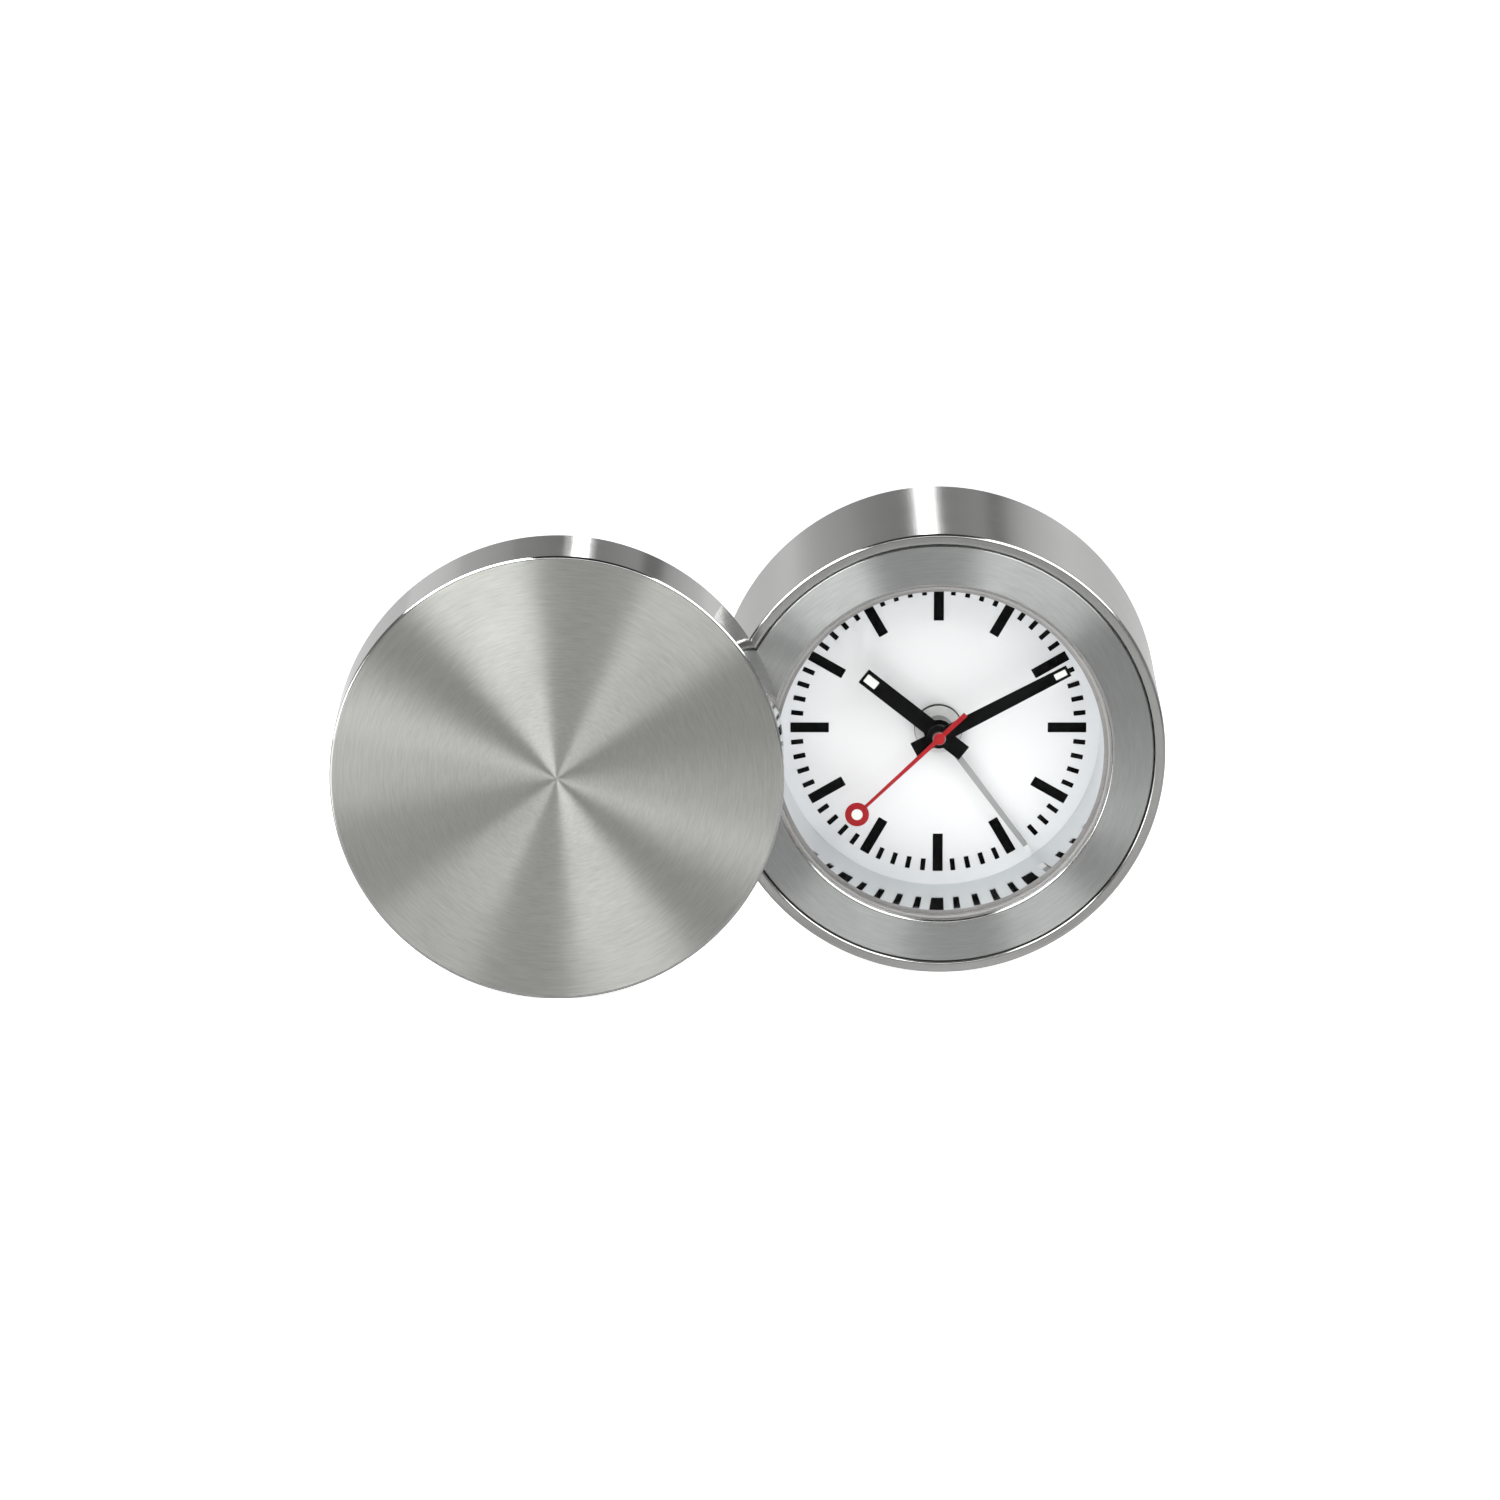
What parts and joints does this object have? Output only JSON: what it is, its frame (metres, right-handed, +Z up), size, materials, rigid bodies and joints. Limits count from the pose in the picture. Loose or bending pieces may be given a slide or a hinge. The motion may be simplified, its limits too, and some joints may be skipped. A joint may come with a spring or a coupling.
{
  "type": "travel alarm clock",
  "caption": "Round travel alarm clock in a brushed metal case, with a quartz alarm movement and a round cover that swings aside as a stand.",
  "frame": {"origin": "on the table, under the middle of the box round the case and the opened cover", "axes": "+Z up, -Y the way the dial faces, +X to the right seen from the front"},
  "size_m": [0.1182, 0.0488, 0.064],
  "materials": {
    "case_aluminium": "satin, circumferential lines",
    "bezel_aluminium": "fine concentric brushing",
    "reflector_metal": "polished",
    "crystal_clear": "clear, polished",
    "gasket_nylon": "pale nylon",
    "dial_white": "matte white",
    "print_black": "matte black print",
    "nut_steel": "bright satin",
    "washer_black": "matte",
    "hand_black": "matte black",
    "hand_red": "gloss red",
    "hand_grey": "satin grey",
    "lume_white": "matte luminous paint",
    "gear_white": "moulded acetal",
    "housing_plastic": "moulded",
    "frame_plastic": "moulded",
    "motor_iron": "stamped strip",
    "bobbin_plastic": "moulded",
    "coil_copper": "enamelled copper wire",
    "board_green": "circuit board",
    "chip_black": "epoxy",
    "can_metal": "bright can",
    "screw_steel": "plated",
    "cell_jacket": "plain jacket",
    "contact_metal": "nickel plated",
    "buzzer_brass": "thin disc",
    "back_plastic": "fine moulded texture",
    "knob_plastic": "moulded",
    "switch_plastic": "moulded",
    "lid_aluminium": "concentric brushed face, polished wall",
    "liner_plastic": "moulded",
    "pin_steel": "turned"
  },
  "bodies": {
    "case": {"case_tube": "case_aluminium", "bezel_ring": "bezel_aluminium", "crystal": "crystal_clear", "crystal_gasket": "gasket_nylon", "reflector_ring": "reflector_metal", "dial": "dial_white", "dial_print": "print_black", "dial_washer": "washer_black", "dial_nut": "nut_steel", "movement_front": "housing_plastic", "movement_rear": "housing_plastic", "stator": "motor_iron", "coil_core": "motor_iron", "coil_bobbin": "bobbin_plastic", "coil_winding": "coil_copper", "circuit_board": "board_green", "chip": "chip_black", "quartz_can": "can_metal", "movement_frame": "frame_plastic", "movement_screws": "screw_steel", "battery_cell": "cell_jacket", "battery_tray": "frame_plastic", "plus_contact": "contact_metal", "minus_spring": "contact_metal", "buzzer": "buzzer_brass", "back_cover": "back_plastic", "back_cover_screws": "screw_steel", "pivot_pin": "pin_steel", "pivot_clip": "pin_steel"},
    "lid": {"lid_shell": "lid_aluminium", "lid_liner": "liner_plastic", "friction_washer": "pin_steel"},
    "seconds": {"second_wheel": "gear_white", "second_hand": "hand_red", "second_lume": "lume_white", "second_collet": "pin_steel"},
    "minutes": {"centre_wheel": "gear_white", "minute_hand": "hand_black", "minute_lume": "lume_white"},
    "hours": {"hour_wheel": "gear_white", "hour_hand": "hand_black", "hour_lume": "lume_white"},
    "third": {"third_wheel": "gear_white"},
    "fifth": {"fifth_wheel": "gear_white"},
    "motor_rotor": {"rotor": "gear_white"},
    "motion_work": {"motion_wheel": "gear_white", "time_set_knob": "knob_plastic"},
    "alarm_setting": {"alarm_setting_arbor": "gear_white", "alarm_set_knob": "knob_plastic"},
    "alarm_pointer": {"alarm_wheel": "gear_white", "alarm_hand": "hand_grey"},
    "alarm_slide": {"alarm_switch": "switch_plastic"},
    "door": {"battery_door": "back_plastic"}
  },
  "joints": [
    {"name": "lid_swing", "type": "hinge", "parent": "case", "child": "lid", "pos_m": [0, -0.0146, 0.032], "axis": [0, 1, 0], "range_deg": [0, 180]},
    {"name": "second_spin", "type": "hinge", "parent": "case", "child": "seconds", "pos_m": [0.02715, 0.0104, 0.032], "axis": [0, 1, 0], "continuous": true},
    {"name": "minute_spin", "type": "hinge", "parent": "case", "child": "minutes", "pos_m": [0.02715, 0.0104, 0.032], "axis": [0, 1, 0], "continuous": true},
    {"name": "hour_spin", "type": "hinge", "parent": "case", "child": "hours", "pos_m": [0.02715, 0.0104, 0.032], "axis": [0, 1, 0], "continuous": true},
    {"name": "third_spin", "type": "hinge", "parent": "case", "child": "third", "pos_m": [0.02715, 0.0134, 0.03812], "axis": [0, 1, 0], "continuous": true},
    {"name": "fifth_spin", "type": "hinge", "parent": "case", "child": "fifth", "pos_m": [0.03245, 0.0134, 0.03482], "axis": [0, 1, 0], "continuous": true},
    {"name": "rotor_spin", "type": "hinge", "parent": "case", "child": "motor_rotor", "pos_m": [0.03641, 0.0134, 0.03878], "axis": [0, 1, 0], "continuous": true},
    {"name": "motion_spin", "type": "hinge", "parent": "case", "child": "motion_work", "pos_m": [0.02112, 0.0134, 0.03038], "axis": [0, 1, 0], "continuous": true},
    {"name": "alarm_set_spin", "type": "hinge", "parent": "case", "child": "alarm_setting", "pos_m": [0.03255, 0.0134, 0.02888], "axis": [0, 1, 0], "continuous": true},
    {"name": "alarm_hand_spin", "type": "hinge", "parent": "case", "child": "alarm_pointer", "pos_m": [0.02715, 0.0094, 0.032], "axis": [0, 1, 0], "continuous": true},
    {"name": "alarm_slide_travel", "type": "slide", "parent": "case", "child": "alarm_slide", "axis": [0, 0, 1], "range_m": [0, 0.003]},
    {"name": "battery_door_lift", "type": "slide", "parent": "case", "child": "door", "axis": [0, 1, 0], "range_m": [0, 0.015]}
  ],
  "couplings": [
    {"joint": "minute_spin", "follows": "second_spin", "ratio": 0.016667},
    {"joint": "hour_spin", "follows": "second_spin", "ratio": 0.0013889},
    {"joint": "third_spin", "follows": "second_spin", "ratio": -0.125},
    {"joint": "fifth_spin", "follows": "second_spin", "ratio": -5},
    {"joint": "rotor_spin", "follows": "second_spin", "ratio": 30},
    {"joint": "motion_spin", "follows": "second_spin", "ratio": -0.0055556},
    {"joint": "alarm_hand_spin", "follows": "alarm_set_spin", "ratio": -0.3}
  ]
}
